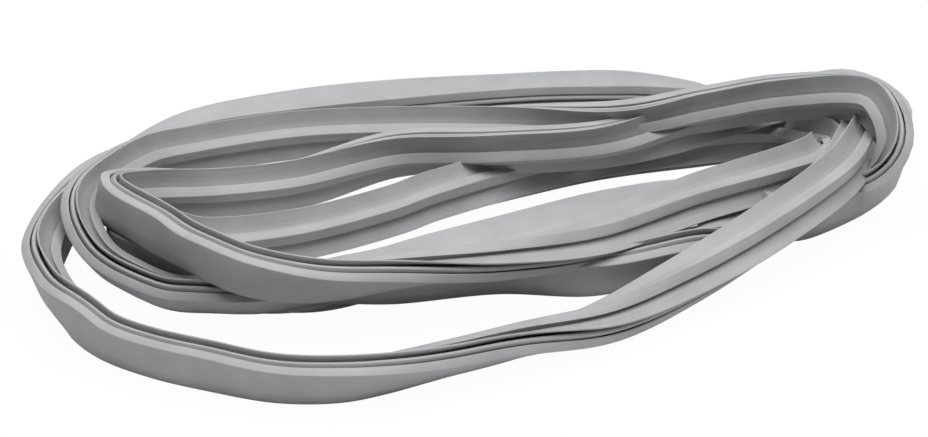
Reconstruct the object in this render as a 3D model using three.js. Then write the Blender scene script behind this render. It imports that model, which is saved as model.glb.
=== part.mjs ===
// Refrigerator door gasket: one welded ring of soft profile, twisted and coiled into a flat bundle.
// Four flexible magnetic strips lie in the pocket behind its wide face. Millimetres, +Z up.
import * as THREE from "three";

// Section of the profile: depth runs from the wide face to the dart, height towards the magnet side
const depthOfAxis = 8;
const faceTop = 10.5;
const faceFoot = -4.5;
const topDepth = 4.6;
const topHeight = 11.2;
const faceWall = 0.9;
const flapTip = -12.2;
const flapInner = 0.6;
const flapOuter = 1.8;
const beadStart = 5.3;
const beadCrest = 6.6;
const beadHeight = 11.8;
const beadEnd = 8;
const chamberFront = 5.2;
const chamberBack = 9.4;
const chamberTop = 8.4;
const chamberFoot = -7;
const flangeFront = 9.9;
const flangeBack = 10.9;
const flangeReach = 13.2;
const flangeRoot = 10.7;
const flangeRootHeight = 6;
const neckFront = 11.6;
const neckHalf = 1.5;
const barbDepth = 13.3;
const barbHalf = 4.8;
const dartTip = 17;
const flankBack = 9.2;
const flankFront = 3;
const flankHeight = -9.4;

// Magnetic strips and the pocket that holds them
const stripThickness = 2.2;
const stripWidth = 11;
const stripClearance = 0.35;
const pocketFoot = -3.4;
const slitWidth = 0.5;
const stripEndGap = 8;

// Longest step between two rings of the swept profile
const ringStep = 24;

// Each station of the route: x, y and height of the section's axis in whole millimetres,
// then the compass bearing from +X and the elevation of the direction that the wide face looks to
const nearOuterRun = [
  [-224, -35, 19, 235, -10], [-212, -53, 15, 245, -10], [-194, -72, 14, 255, -10],
  [-170, -92, 14, 255, -10], [-142, -111, 15, 255, -15], [-115, -121, 15, 255, -20],
  [-90, -122, 15, 255, -30], [-61, -118, 14, 255, -40], [-27, -114, 14, 255, -50],
  [16, -107, 14, 255, -85], [57, -98, 20, 75, -70], [106, -74, 30, 75, -40],
  [147, -60, 40, 75, -30], [171, -42, 47, 85, -25], [203, 0, 37, 90, -25],
];
const farInnerRun = [
  [225, 27, 31, 80, -45], [224, 64, 28, 75, -75], [188, 69, 26, 75, -85], [149, 64, 28, 75, -80],
  [113, 58, 31, 75, -80], [69, 56, 22, 75, -80], [16, 61, 16, 75, -70], [-37, 74, 17, 75, -55],
  [-95, 61, 19, 75, -25], [-136, 56, 23, 75, -20], [-176, 46, 34, 80, -10],
];
const topCornerRun = [
  [-189, 33, 44, 120, 0], [-186, 6, 45, 230, 0], [-172, -23, 46, 250, 0], [-159, -47, 48, 255, -5],
  [-143, -63, 46, 255, -10], [-113, -71, 42, 255, -25], [-76, -71, 36, 255, -45],
  [-22, -62, 32, 255, -85], [26, -63, 32, 75, -80], [103, -32, 43, 75, -55],
  [145, -27, 51, 75, -35], [160, -17, 50, 65, -25],
];
const innerReturnRun = [
  [180, -3, 37, 15, -10], [174, 13, 30, 50, -10], [151, 21, 25, 70, -20], [106, 21, 33, 75, -25],
  [42, 36, 23, 75, -30], [7, 34, 20, 75, -30], [-30, 24, 20, 75, -30], [-51, 18, 19, 75, -30],
  [-106, 6, 20, 75, -30], [-152, 9, 21, 75, -25], [-171, 23, 21, 100, -15], [-184, 20, 20, 170, -5],
];
const nearInnerRun = [
  [-174, -3, 18, 245, 0], [-156, -19, 16, 255, 5], [-123, -30, 14, 255, 20], [-79, -28, 10, 255, 70],
  [-37, -18, 10, 255, 85], [0, -14, 12, 255, 85], [56, -8, 18, 255, 85], [98, -12, 28, 255, 80],
  [135, -11, 28, 255, 75], [158, -33, 20, 265, 35],
];
const rightEndRun = [
  [186, -37, 18, 285, 5], [209, -33, 33, 315, -5], [212, -29, 47, 345, -10], [208, -15, 61, 25, -5],
  [200, 1, 65, 50, -5], [165, 28, 50, 75, 5], [124, 37, 47, 75, 10], [81, 43, 49, 75, 20],
];
const farMiddleRun = [
  [23, 78, 35, 75, -10], [-27, 96, 23, 75, -20], [-80, 106, 23, 75, -20], [-136, 100, 26, 75, -20],
  [-165, 89, 30, 80, -15], [-192, 64, 34, 105, -10], [-210, 40, 34, 145, -15],
  [-210, 20, 32, 175, -25],
];
const nearMiddleRun = [
  [-205, -1, 27, 205, -35], [-193, -19, 23, 235, -40], [-178, -31, 21, 245, -40],
  [-162, -41, 20, 255, -40], [-137, -51, 22, 255, -45], [-105, -53, 21, 255, -50],
  [-70, -51, 16, 255, -80], [-17, -54, 13, 75, -90], [27, -70, 10, 75, -90], [67, -72, 9, 75, -90],
];
const crossingRun = [
  [92, -74, 9, 50, -85], [115, -64, 9, 15, -85], [129, -48, 9, 355, -85], [131, -31, 9, 50, -85],
  [124, -8, 9, 60, -85], [113, 18, 9, 65, -85],
];
const farOuterRun = [
  [100, 46, 9, 65, -80], [86, 76, 14, 70, -25], [62, 103, 20, 75, 45], [14, 127, 20, 255, 88],
  [-50, 139, 16, 255, 90], [-128, 137, 14, 90, 80], [-170, 119, 16, 110, 60], [-196, 92, 16, 135, 20],
  [-211, 68, 18, 155, -5],
];
const leftCornerRun = [
  [-224, 42, 20, 170, -20], [-231, 16, 20, 190, -20], [-231, -10, 19, 215, -15],
];
const route = [
  ...nearOuterRun, ...farInnerRun, ...topCornerRun, ...innerReturnRun, ...nearInnerRun,
  ...rightEndRun, ...farMiddleRun, ...nearMiddleRun, ...crossingRun, ...farOuterRun, ...leftCornerRun,
];

// Outline of the profile, with the pocket open through the groove and the chamber open through the slit
function profileOutline() {
  const pocketBack = faceWall + stripThickness + 2 * stripClearance;
  const pocketTop = pocketFoot + stripWidth + 2 * stripClearance;
  return [
    [0, faceTop], [topDepth, topHeight], [topDepth + 0.2, faceTop],
    [pocketBack - slitWidth, pocketTop], [faceWall, pocketTop],
    [faceWall, pocketFoot], [pocketBack, pocketFoot], [pocketBack, pocketTop - slitWidth],
    [beadStart, faceTop - slitWidth], [beadCrest, beadHeight], [beadEnd, topHeight],
    [beadEnd + 0.3, chamberTop], [chamberFront, chamberTop], [chamberFront, chamberFoot],
    [chamberBack, chamberFoot], [chamberBack, chamberTop],
    [flangeFront, flangeReach], [flangeBack, flangeReach], [flangeRoot, flangeRootHeight],
    [neckFront, neckHalf], [barbDepth, neckHalf], [barbDepth, barbHalf], [dartTip, 0],
    [barbDepth, -barbHalf], [barbDepth, -neckHalf], [neckFront, -neckHalf],
    [flangeRoot, -flangeRootHeight], [flangeBack, -flangeReach], [flangeFront, -flangeReach],
    [flankBack, flankHeight], [flankFront, flankHeight], [flapOuter, flapTip], [flapInner, flapTip],
    [0, faceFoot],
  ];
}

// The strip's outline runs the same way round as the pocket's, so that their faces split along the same lines
function stripOutline() {
  const front = faceWall + stripClearance;
  const foot = pocketFoot + stripClearance;
  return [
    [front + stripThickness, foot + stripWidth], [front, foot + stripWidth],
    [front, foot], [front + stripThickness, foot],
  ];
}

// Unit vector of a compass bearing and an elevation in degrees
function facing([, , , bearing, elevation]) {
  const turn = THREE.MathUtils.degToRad(bearing);
  const rise = THREE.MathUtils.degToRad(elevation);
  return new THREE.Vector3(
    Math.cos(rise) * Math.cos(turn), Math.cos(rise) * Math.sin(turn), Math.sin(rise),
  );
}

// Rings of the closed route: each holds its point, the facing direction and the direction of height
function sweepFrames() {
  const points = route.map(([x, y, z]) => new THREE.Vector3(x, y, z));
  const axis = new THREE.CatmullRomCurve3(points, true, "centripetal");
  const look = new THREE.CatmullRomCurve3(route.map(facing), true, "catmullrom", 0.5);
  const places = [];
  route.forEach((station, index) => {
    const length = points[index].distanceTo(points[(index + 1) % route.length]);
    const steps = Math.max(1, Math.round(length / ringStep));
    for (let step = 0; step < steps; step += 1) {
      places.push((index + step / steps) / route.length);
    }
  });
  return places.map((place) => ringFrame(axis, look, place));
}

function ringFrame(axis, look, place) {
  const tangent = axis.getTangent(place);
  const out = look.getPoint(place);
  out.addScaledVector(tangent, -out.dot(tangent)).normalize();
  const up = new THREE.Vector3().crossVectors(out, tangent);
  return { place, point: axis.getPoint(place), out, up };
}

function ringPoints(frame, outline) {
  return outline.map(([depth, height]) =>
    frame.point.clone()
      .addScaledVector(frame.out, depthOfAxis - depth)
      .addScaledVector(frame.up, height));
}

// Triangles of the faces between rings of equal outlines; a closed sweep joins its last ring to its first
function wallFaces(rings, closed) {
  const size = rings[0].length;
  const faces = [];
  const spans = closed ? rings.length : rings.length - 1;
  for (let ring = 0; ring < spans; ring += 1) {
    const next = (ring + 1) % rings.length;
    for (let side = 0; side < size; side += 1) {
      const beside = (side + 1) % size;
      const [a, b] = [ring * size + side, ring * size + beside];
      const [c, d] = [next * size + beside, next * size + side];
      faces.push([a, d, c], [a, c, b]);
    }
  }
  return faces;
}

function skin(rings, faces) {
  const geometry = new THREE.BufferGeometry().setFromPoints(rings.flat());
  geometry.setIndex(faces.flat());
  geometry.computeVertexNormals();
  return geometry;
}

function namedMesh(name, geometry, colour, roughness) {
  const material = new THREE.MeshStandardMaterial({ color: colour, roughness, metalness: 0 });
  const mesh = new THREE.Mesh(geometry, material);
  mesh.name = name;
  return mesh;
}

// A strip fills the pocket of one side of the door, between two corner welds
function magnetStrip(name, frames, from, to) {
  const side = frames.filter(({ place }) => place > from && place < to);
  const rings = side.map((frame) => ringPoints(frame, stripOutline()));
  const walls = wallFaces(rings, false).map(([a, b, c]) => [a, c, b]);
  const end = (rings.length - 1) * rings[0].length;
  const ends = [[0, 2, 1], [0, 3, 2], [end, end + 1, end + 2], [end, end + 2, end + 3]];
  return namedMesh(name, skin(rings, [...walls, ...ends]), 0x2e2a28, 0.8);
}

// Corners of the door as shares of the route's stations, and the weld's half width in the same shares
const weldHalf = stripEndGap / 1000;
const cornerShares = [0, 0.35, 0.53, 0.86, 1];
const sideNames = ["hinge_side", "top", "handle_side", "bottom"];

const frames = sweepFrames();
const profileRings = frames.map((frame) => ringPoints(frame, profileOutline()));
const ring = skin(profileRings, wallFaces(profileRings, true));
ring.computeBoundingBox();
const box = ring.boundingBox;

const gasket = new THREE.Group();
gasket.add(namedMesh("gasket_profile", ring, 0x9b9da0, 0.45));
sideNames.forEach((side, index) => {
  const [from, to] = [cornerShares[index] + weldHalf, cornerShares[index + 1] - weldHalf];
  gasket.add(magnetStrip(`magnet_strip_${side}`, frames, from, to));
});
gasket.position.set(-(box.min.x + box.max.x) / 2, -(box.min.y + box.max.y) / 2, -box.min.z);

export default gasket;
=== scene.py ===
"""A refrigerator door gasket of soft grey vinyl, twisted and coiled into a flat bundle on a white floor."""
import math
import bpy
import numpy as np
from mathutils import Matrix, Vector


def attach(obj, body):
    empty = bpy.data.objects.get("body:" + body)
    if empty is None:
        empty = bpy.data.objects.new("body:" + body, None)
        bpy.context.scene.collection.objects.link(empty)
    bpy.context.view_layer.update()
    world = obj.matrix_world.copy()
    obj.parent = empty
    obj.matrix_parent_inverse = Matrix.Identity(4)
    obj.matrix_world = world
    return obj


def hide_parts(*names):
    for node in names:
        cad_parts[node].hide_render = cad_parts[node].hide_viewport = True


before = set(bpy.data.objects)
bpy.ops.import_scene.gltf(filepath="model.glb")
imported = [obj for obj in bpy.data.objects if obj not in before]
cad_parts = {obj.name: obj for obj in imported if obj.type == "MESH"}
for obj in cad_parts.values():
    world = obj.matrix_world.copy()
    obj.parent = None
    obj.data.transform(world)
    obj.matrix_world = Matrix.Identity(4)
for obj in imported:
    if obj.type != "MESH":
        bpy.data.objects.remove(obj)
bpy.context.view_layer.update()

MM = 0.001

# Section of the profile in millimetres: depth from the wide face, height towards the magnet side
DEPTH_OF_AXIS = 8.0
FACE_WALL = 0.9
STRIP_THICKNESS, STRIP_WIDTH, STRIP_CLEARANCE = 2.2, 11.0, 0.35
POCKET_FOOT = -3.4
SLIT_WIDTH = 0.5

# Stations of the route: x, y and height of the section's axis, then bearing and elevation of its face
NEAR_OUTER_RUN = [
    (-224, -36, 20, 235, -10), (-212, -54, 15, 245, -10), (-194, -73, 14, 255, -10),
    (-170, -92, 14, 255, -10), (-142, -111, 14, 255, -15), (-115, -121, 15, 255, -20),
    (-90, -122, 15, 255, -30), (-61, -118, 14, 255, -40), (-26, -113, 14, 255, -50),
    (24, -102, 12, 255, -85), (69, -85, 16, 75, -70), (111, -69, 24, 75, -50),
    (157, -47, 34, 75, -30), (175, -35, 38, 85, -25), (205, 6, 34, 90, -25),
]
RIGHT_BEND_RUN = [
    (227, 27, 31, 80, -50), (217, 57, 31, 75, -60),
]
FAR_INNER_RUN = [
    (181, 54, 32, 75, -60), (145, 51, 31, 75, -40), (112, 46, 29, 75, -20), (66, 37, 30, 75, 5),
    (12, 43, 31, 75, 10), (-36, 69, 23, 75, 10), (-94, 62, 18, 75, -15), (-135, 60, 20, 75, -20),
    (-175, 53, 30, 80, -10),
]
TOP_CORNER_RUN = [
    (-193, 40, 37, 120, 0),
]
NEAR_TOP_RUN = [
    (-185, 13, 41, 230, 0), (-171, -13, 41, 250, 0), (-158, -38, 42, 255, -5),
    (-141, -56, 40, 255, -10), (-112, -65, 36, 255, -25), (-74, -65, 33, 255, -45),
    (-19, -64, 32, 255, -85), (35, -55, 30, 75, -65), (98, -30, 29, 75, -45),
    (151, -16, 30, 75, -30), (168, -9, 30, 65, -20),
]
RIGHT_CORNER_RUN = [
    (187, 6, 29, 15, -10),
]
INNER_RETURN_RUN = [
    (182, 24, 24, 50, -15), (168, 48, 16, 70, -30), (130, 54, 14, 75, -45), (73, 55, 14, 75, -45),
    (26, 48, 14, 75, -40), (-28, 32, 16, 75, -30), (-50, 25, 15, 75, -30), (-104, 14, 15, 75, -30),
    (-152, 18, 16, 75, -25), (-173, 34, 17, 100, -15),
]
INNER_LEFT_BEND = [
    (-190, 31, 17, 170, -5),
]
NEAR_INNER_RUN = [
    (-175, 5, 15, 245, 0), (-156, -14, 14, 255, 5), (-123, -31, 13, 255, 20),
    (-78, -27, 9, 255, 70), (-37, -17, 9, 255, 85), (1, -11, 10, 255, 85), (58, -2, 11, 255, 85),
    (98, -4, 12, 255, 80), (128, -19, 13, 255, 45),
]
RIGHT_END_RUN = [
    (149, -37, 15, 255, -5), (184, -27, 17, 280, -10), (197, -31, 27, 305, -10),
    (205, -27, 42, 345, -10), (205, -12, 53, 25, -5),
]
FAR_MIDDLE_RUN = [
    (201, 1, 56, 50, -5), (167, 31, 47, 75, 5), (126, 40, 41, 75, 10), (83, 48, 35, 75, 20),
    (25, 79, 25, 75, -10), (-27, 98, 22, 75, -20), (-80, 108, 22, 75, -20),
    (-136, 103, 24, 75, -20), (-164, 93, 28, 80, -15), (-191, 69, 31, 105, -10),
    (-206, 47, 31, 145, -15),
]
MIDDLE_LEFT_BEND = [
    (-209, 27, 28, 175, -25),
]
NEAR_MIDDLE_RUN = [
    (-204, 7, 22, 205, -35), (-192, -11, 19, 235, -40), (-177, -24, 16, 245, -40),
    (-161, -33, 17, 255, -40), (-136, -44, 19, 255, -40), (-101, -45, 20, 255, -35),
    (-66, -46, 17, 255, -20), (-14, -45, 14, 255, -15), (34, -60, 14, 255, -15),
    (87, -51, 15, 255, -30),
]
CROSSING_RUN = [
    (119, -33, 9, 340, -85), (151, -8, 9, 5, -85), (172, 32, 9, 0, -85), (184, 68, 13, 40, -55),
    (181, 84, 17, 55, -10),
]
FAR_OUTER_RUN = [
    (153, 77, 23, 65, 50), (137, 86, 24, 70, 75), (106, 113, 20, 255, 90), (74, 126, 18, 255, 90),
    (40, 136, 16, 255, 90), (-18, 140, 18, 255, 85), (-75, 143, 18, 255, 85),
    (-134, 136, 18, 90, 85), (-170, 118, 16, 110, 60), (-195, 91, 19, 135, 25),
    (-209, 69, 20, 155, -5),
]
LEFT_CORNER_RUN = [
    (-223, 42, 21, 170, -20), (-232, 15, 21, 190, -20), (-231, -12, 20, 215, -15),
]
ROUTE = (NEAR_OUTER_RUN + RIGHT_BEND_RUN + FAR_INNER_RUN + TOP_CORNER_RUN
         + NEAR_TOP_RUN + RIGHT_CORNER_RUN + INNER_RETURN_RUN + INNER_LEFT_BEND
         + NEAR_INNER_RUN + RIGHT_END_RUN + FAR_MIDDLE_RUN + MIDDLE_LEFT_BEND
         + NEAR_MIDDLE_RUN + CROSSING_RUN + FAR_OUTER_RUN + LEFT_CORNER_RUN)

# The middle of the solid's box in the plan, and its lowest point, in the route's own numbers
ROUTE_SHIFT = np.array([0.508, -9.610, 0.061])

FINE_STEP = 4.0
CORNER_SHARES = (0.0, 0.35, 0.53, 0.86, 1.0)
WELD_HALF = 0.008
CREASE_DEGREES = 32
SIDES = ("hinge_side", "top", "handle_side", "bottom")


def section_outline():
    """Outline of the profile as (depth, height, rounding radius), once round, in the solid's own order."""
    pocket_back = FACE_WALL + STRIP_THICKNESS + 2 * STRIP_CLEARANCE
    pocket_top = POCKET_FOOT + STRIP_WIDTH + 2 * STRIP_CLEARANCE
    return [
        (0, 10.5, 0.7), (4.6, 11.2, 0.5), (4.8, 10.5, 0.0),
        (pocket_back - SLIT_WIDTH, pocket_top, 0.0), (FACE_WALL, pocket_top, 0.0),
        (FACE_WALL, POCKET_FOOT, 0.0), (pocket_back, POCKET_FOOT, 0.0),
        (pocket_back, pocket_top - SLIT_WIDTH, 0.0),
        (5.3, 10.0, 0.0), (6.6, 11.8, 0.8), (8.0, 11.2, 0.6),
        (8.3, 8.4, 0.0), (5.2, 8.4, 0.0), (5.2, -7.0, 0.0), (9.4, -7.0, 0.0), (9.4, 8.4, 0.3),
        (9.9, 13.2, 0.4), (10.9, 13.2, 0.4), (10.2, 8.5, 0.0), (10.7, 5.5, 1.2),
        (11.6, 1.5, 0.3), (13.3, 1.5, 0.0), (13.3, 4.8, 0.35), (17.0, 0, 0.5),
        (13.3, -4.8, 0.35), (13.3, -1.5, 0.0), (11.6, -1.5, 0.3),
        (10.7, -5.5, 1.2), (10.2, -8.5, 0.0), (10.9, -13.2, 0.4), (9.9, -13.2, 0.4),
        (9.2, -9.4, 0.6), (5.8, -8.6, 0.0), (3.0, -9.4, 0.5), (2.6, -12.2, 0.4), (1.5, -12.2, 0.4),
        (0.0, -4.5, 0.4),
    ]


def strip_outline():
    front = FACE_WALL + STRIP_CLEARANCE
    foot = POCKET_FOOT + STRIP_CLEARANCE
    return [(front, foot + STRIP_WIDTH, 0.0), (front + STRIP_THICKNESS, foot + STRIP_WIDTH, 0.0),
            (front + STRIP_THICKNESS, foot, 0.0), (front, foot, 0.0)]


def rounded(outline, arc_points=4):
    """Replaces each corner by an arc that touches both of its sides, the radius cut to fit short sides."""
    points = []
    count = len(outline)
    for index, (x, y, radius) in enumerate(outline):
        corner = np.array([x, y], float)
        before = np.array(outline[index - 1][:2], float) - corner
        after = np.array(outline[(index + 1) % count][:2], float) - corner
        if radius == 0:
            points.append(corner)
            continue
        la, lb = np.linalg.norm(before), np.linalg.norm(after)
        ua, ub = before / la, after / lb
        half = math.acos(float(np.clip(ua @ ub, -1, 1))) / 2
        reach = min(radius / math.tan(half), 0.45 * la, 0.45 * lb)
        for share in np.linspace(0, 1, arc_points):
            a, b = corner + ua * reach, corner + ub * reach
            middle = (1 - share) ** 2 * a + 2 * share * (1 - share) * corner + share ** 2 * b
            points.append(middle)
    return np.array(points)


def closed_curve(points, per_span, power):
    """Closed Catmull-Rom curve: knots apart by chord length to a power, two straight blends of each pair."""
    count = len(points)
    out = []
    for index in range(count):
        p0, p1, p2, p3 = (points[(index + k) % count] for k in (-1, 0, 1, 2))
        gap = [max(np.linalg.norm(b - a), 1e-6) ** power for a, b in ((p0, p1), (p1, p2), (p2, p3))]
        t0, t1 = 0.0, gap[0]
        t2 = t1 + gap[1]
        t3 = t2 + gap[2]
        t = (t1 + (t2 - t1) * np.arange(per_span[index]) / per_span[index])[:, None]
        a1 = (t1 - t) / (t1 - t0) * p0 + (t - t0) / (t1 - t0) * p1
        a2 = (t2 - t) / (t2 - t1) * p1 + (t - t1) / (t2 - t1) * p2
        a3 = (t3 - t) / (t3 - t2) * p2 + (t - t2) / (t3 - t2) * p3
        b1 = (t2 - t) / (t2 - t0) * a1 + (t - t0) / (t2 - t0) * a2
        b2 = (t3 - t) / (t3 - t1) * a2 + (t - t1) / (t3 - t1) * a3
        out.append((t2 - t) / (t2 - t1) * b1 + (t - t1) / (t2 - t1) * b2)
    return np.concatenate(out)


def sweep_frames():
    """Points of the route every few millimetres, with the directions of face and height at each."""
    stations = np.array(ROUTE, float)
    points = stations[:, :3] + ROUTE_SHIFT
    turn, rise = np.radians(stations[:, 3]), np.radians(stations[:, 4])
    facing = np.stack([np.cos(rise) * np.cos(turn), np.cos(rise) * np.sin(turn), np.sin(rise)], 1)
    spans = np.linalg.norm(np.roll(points, -1, 0) - points, axis=1)
    per_span = np.maximum(2, np.round(spans / FINE_STEP)).astype(int)
    axis = closed_curve(points, per_span, 0.5)
    look = closed_curve(facing, per_span, 0.0)
    place = np.concatenate([(k + np.arange(n) / n) / len(ROUTE) for k, n in enumerate(per_span)])
    tangent = np.roll(axis, -1, 0) - np.roll(axis, 1, 0)
    tangent /= np.linalg.norm(tangent, axis=1, keepdims=True)
    out = look - tangent * (look * tangent).sum(1, keepdims=True)
    out /= np.linalg.norm(out, axis=1, keepdims=True)
    return axis, out, np.cross(out, tangent), place


def carried(outline, axis, out, up):
    """Each ring is the outline laid in the plane of its frame: depth against the face, height upwards."""
    depth = (DEPTH_OF_AXIS - outline[:, 0])[None, :, None]
    height = outline[:, 1][None, :, None]
    return (axis[:, None] + depth * out[:, None] + height * up[:, None]) * MM


def swept_piece(name, rings, closed):
    """Quads between neighbouring rings; the ends of an open sweep are closed by one face each."""
    count, size = rings.shape[:2]
    ring = np.arange(count if closed else count - 1)[:, None]
    side = np.arange(size)[None, :]
    after, beside = (ring + 1) % count, (side + 1) % size
    a, b = ring * size + side, ring * size + beside
    c, d = after * size + beside, after * size + side
    quads = np.stack([a, d, c, b], -1).reshape(-1, 4)
    mesh = bpy.data.meshes.new(name)
    faces = quads.tolist()
    if not closed:
        faces.append(list(range(size)))
        faces.append([(count - 1) * size + k for k in reversed(range(size))])
    mesh.from_pydata(rings.reshape(-1, 3).tolist(), [], faces)
    mesh.update()
    lengths = np.linalg.norm(np.roll(rings[:, 0], -1, 0) - rings[:, 0], axis=1)
    along = np.concatenate([[0], np.cumsum(lengths)[:-1]])
    rim = np.linalg.norm(np.roll(rings[0], -1, 0) - rings[0], axis=1)
    around = np.concatenate([[0], np.cumsum(rim)[:-1]])
    for layer, values in (("along", np.repeat(along, size)), ("around", np.tile(around, count))):
        attribute = mesh.attributes.new(layer, "FLOAT", "POINT")
        attribute.data.foreach_set("value", values.astype(np.float32))
    piece = bpy.data.objects.new(name, mesh)
    bpy.context.scene.collection.objects.link(piece)
    return piece


class Wire:
    """A socket whose arithmetic adds Math nodes."""

    def __init__(self, shop, socket):
        self.shop, self.socket = shop, socket

    def join(self, operation, other, turned=False):
        pair = [other, self] if turned else [self, other]
        return self.shop.node("ShaderNodeMath", {"operation": operation}, {0: pair[0], 1: pair[1]})

    def __add__(self, other):
        return self.join("ADD", other)

    def __radd__(self, other):
        return self.join("ADD", other)

    def __sub__(self, other):
        return self.join("SUBTRACT", other)

    def __rsub__(self, other):
        return self.join("SUBTRACT", other, True)

    def __mul__(self, other):
        return self.join("MULTIPLY", other)

    def __rmul__(self, other):
        return self.join("MULTIPLY", other)


class Finish:
    """One material and its nodes."""

    def __init__(self, name):
        self.material = bpy.data.materials.new(name)
        self.material.use_nodes = True
        self.tree = self.material.node_tree
        self.tree.nodes.clear()

    def node(self, kind, settings=None, inputs=None, output=0):
        made = self.tree.nodes.new(kind)
        for key, value in (settings or {}).items():
            if key == "stops":
                ramp = made.color_ramp
                while len(ramp.elements) < len(value):
                    ramp.elements.new(0.5)
                for element, (place, colour) in zip(ramp.elements, value):
                    element.position, element.color = place, colour
            else:
                setattr(made, key, value)
        for key, value in (inputs or {}).items():
            if isinstance(value, Wire):
                self.tree.links.new(value.socket, made.inputs[key])
            else:
                made.inputs[key].default_value = value
        return Wire(self, made.outputs[output]) if made.outputs else made


VINYL_DARK = (0.33, 0.333, 0.341, 1)
VINYL_MIDDLE = (0.38, 0.383, 0.391, 1)
VINYL_LIGHT = (0.435, 0.438, 0.446, 1)


def vinyl_finish():
    """Grey vinyl: fine die lines along the strand, soft mottling, a little dust and a broad sheen."""
    shop = Finish("grey_vinyl")
    place = shop.node("ShaderNodeTexCoord", output=3)
    around = shop.node("ShaderNodeAttribute", {"attribute_name": "around"}, output=2)
    along = shop.node("ShaderNodeAttribute", {"attribute_name": "along"}, output=2)
    strand = shop.node("ShaderNodeCombineXYZ", None, {0: around * 900.0, 1: along * 4.0, 2: 0.0})
    die_lines = shop.node("ShaderNodeTexNoise", None, {"Vector": strand, "Scale": 1.0, "Detail": 3.0})
    mottle = shop.node("ShaderNodeTexNoise", None, {"Vector": place, "Scale": 55.0, "Detail": 4.0})
    grain = shop.node("ShaderNodeTexNoise", None, {"Vector": place, "Scale": 1400.0, "Detail": 2.0})
    tone = die_lines * 0.35 + mottle * 0.5 + grain * 0.15
    colour = shop.node("ShaderNodeValToRGB", {"stops": [
        (0.3, VINYL_DARK), (0.5, VINYL_MIDDLE), (0.7, VINYL_LIGHT)]}, {"Fac": tone})
    height = die_lines * 0.6 + mottle * 0.6 + grain * 0.25
    bump = shop.node("ShaderNodeBump", None, {"Strength": 0.16, "Distance": 0.0006, "Height": height})
    shader = shop.node("ShaderNodeBsdfPrincipled", None, {
        "Base Color": colour, "Roughness": mottle * 0.12 + 0.46, "Normal": bump,
        "IOR": 1.5, "Specular IOR Level": 0.5})
    shop.node("ShaderNodeOutputMaterial", None, {"Surface": shader})
    return shop.material


def magnet_finish():
    """Dark ferrite-filled rubber with a fine grain."""
    shop = Finish("magnet_rubber")
    place = shop.node("ShaderNodeTexCoord", output=3)
    grain = shop.node("ShaderNodeTexNoise", None, {"Vector": place, "Scale": 900.0, "Detail": 3.0})
    colour = shop.node("ShaderNodeValToRGB", {"stops": [
        (0.3, (0.02, 0.018, 0.017, 1)), (0.7, (0.05, 0.045, 0.042, 1))]}, {"Fac": grain})
    bump = shop.node("ShaderNodeBump", None, {"Strength": 0.2, "Distance": 0.0003, "Height": grain})
    shader = shop.node("ShaderNodeBsdfPrincipled", None, {
        "Base Color": colour, "Roughness": 0.8, "Normal": bump})
    shop.node("ShaderNodeOutputMaterial", None, {"Surface": shader})
    return shop.material


def finished(piece, material, node):
    piece.data.materials.append(material)
    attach(piece, "root")
    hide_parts(node)


def smooth_with_creases(piece, angle):
    """Faces shade smoothly, and edges sharper than the angle stay crisp."""
    mesh = piece.data
    mesh.shade_smooth()
    mesh.set_sharp_from_angle(angle=math.radians(angle))


def build_gasket():
    axis, out, up, place = sweep_frames()
    profile = rounded(section_outline())
    ring = swept_piece("gasket_ring", carried(profile, axis, out, up), True)
    smooth_with_creases(ring, CREASE_DEGREES)
    finished(ring, vinyl_finish(), "gasket_profile")
    rubber = magnet_finish()
    strip = rounded(strip_outline())
    for index, side in enumerate(SIDES):
        inside = (place > CORNER_SHARES[index] + WELD_HALF) & (place < CORNER_SHARES[index + 1] - WELD_HALF)
        rings = carried(strip, axis[inside], out[inside], up[inside])
        piece = swept_piece("magnet_" + side, rings, False)
        finished(piece, rubber, "magnet_strip_" + side)


# The photograph's view: the camera looks a little to the right and 30 degrees down
PHOTO_WIDTH, PHOTO_HEIGHT = 928, 437
FOCAL_PIXELS = 2631
VIEW_YAW, VIEW_DROP = math.radians(16), math.radians(30)
VIEW_DISTANCE = 1.316
AIM_POINT = Vector((-0.0295, -0.0416, 0.0257))
AIM_PIXEL = (461, 240)
SENSOR = 36


def place_camera():
    ahead = Vector((math.sin(VIEW_YAW) * math.cos(VIEW_DROP), math.cos(VIEW_YAW) * math.cos(VIEW_DROP),
                    -math.sin(VIEW_DROP)))
    right = Vector((math.cos(VIEW_YAW), -math.sin(VIEW_YAW), 0))
    above = right.cross(ahead)
    data = bpy.data.cameras.new("camera")
    data.sensor_width = SENSOR
    data.lens = SENSOR * FOCAL_PIXELS / PHOTO_WIDTH
    data.shift_x = (PHOTO_WIDTH / 2 - AIM_PIXEL[0]) / PHOTO_WIDTH
    data.shift_y = (AIM_PIXEL[1] - PHOTO_HEIGHT / 2) / PHOTO_WIDTH
    camera = bpy.data.objects.new("camera", data)
    bpy.context.scene.collection.objects.link(camera)
    turn = Matrix((right, above, -ahead)).transposed().to_4x4()
    camera.matrix_world = Matrix.Translation(AIM_POINT - ahead * VIEW_DISTANCE) @ turn
    bpy.context.scene.camera = camera


FLOOR_WHITE = 0.97
FLOOR_REACH, FLOOR_DROP = 6.0, -0.0003


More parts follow.
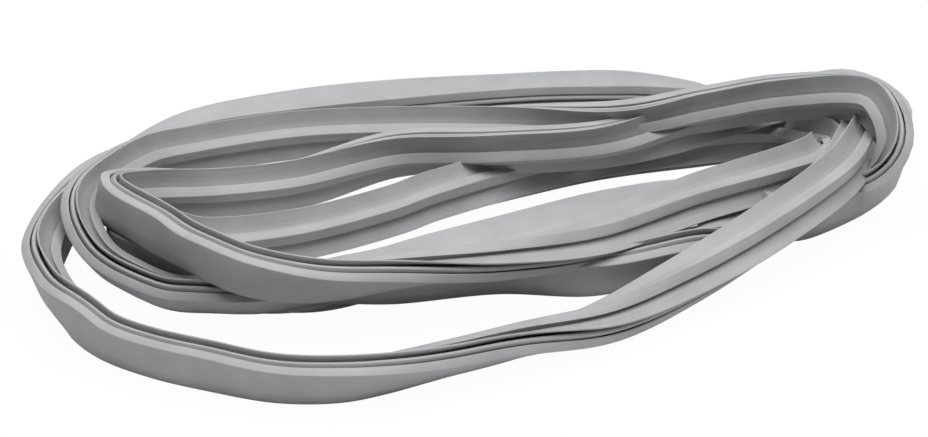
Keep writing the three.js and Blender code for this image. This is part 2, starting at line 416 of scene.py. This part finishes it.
def lay_floor():
    """A pale floor that shows as white to the camera and still darkens where the object shades it."""
    mesh = bpy.data.meshes.new("floor")
    around = [(-1, -1), (1, -1), (1, 1), (-1, 1)]
    mesh.from_pydata([(x * FLOOR_REACH, y * FLOOR_REACH, FLOOR_DROP) for x, y in around], [], [(0, 1, 2, 3)])
    floor = bpy.data.objects.new("floor", mesh)
    bpy.context.scene.collection.objects.link(floor)
    shop = Finish("white_floor")
    rays = shop.node("ShaderNodeLightPath")
    matt = shop.node("ShaderNodeBsdfDiffuse", None, {"Color": (0.8, 0.8, 0.8, 1)})
    white = shop.node("ShaderNodeEmission", None, {"Color": (1, 1, 1, 1), "Strength": 1.0})
    seen = shop.node("ShaderNodeMixShader", None, {0: rays * FLOOR_WHITE, 1: matt, 2: white})
    shop.node("ShaderNodeOutputMaterial", None, {"Surface": seen})
    floor.data.materials.append(shop.material)


# Each lamp: name, place, aim, side of its square and power
WORLD_LEVEL = 0.19
LAMPS = [
    ("overhead", (0.1, -0.15, 1.6), (0, 0, 0), 1.4, 31),
    ("back_window", (-0.2, 1.7, 1.1), (0, 0, 0), 1.2, 10),
]


def light_room():
    world = bpy.data.worlds.new("studio")
    bpy.context.scene.world = world
    world.use_nodes = True
    tree = world.node_tree
    tree.nodes.clear()
    shop = Finish.__new__(Finish)
    shop.tree = tree
    rays = shop.node("ShaderNodeLightPath")
    glow = shop.node("ShaderNodeBackground", None, {"Color": (1, 1, 1, 1), "Strength": WORLD_LEVEL})
    white = shop.node("ShaderNodeBackground", None, {"Color": (1, 1, 1, 1), "Strength": 1.0})
    seen = shop.node("ShaderNodeMixShader", None, {0: rays, 1: glow, 2: white})
    shop.node("ShaderNodeOutputWorld", None, {"Surface": seen})
    for name, spot, target, size, power in LAMPS:
        data = bpy.data.lights.new(name, "AREA")
        data.shape, data.size, data.energy = "SQUARE", size, power
        lamp = bpy.data.objects.new(name, data)
        lamp.location = spot
        lamp.rotation_euler = (Vector(target) - Vector(spot)).to_track_quat("-Z", "Y").to_euler()
        bpy.context.scene.collection.objects.link(lamp)


place_camera()
lay_floor()
light_room()
build_gasket()
bpy.context.scene.view_settings.view_transform = "Standard"
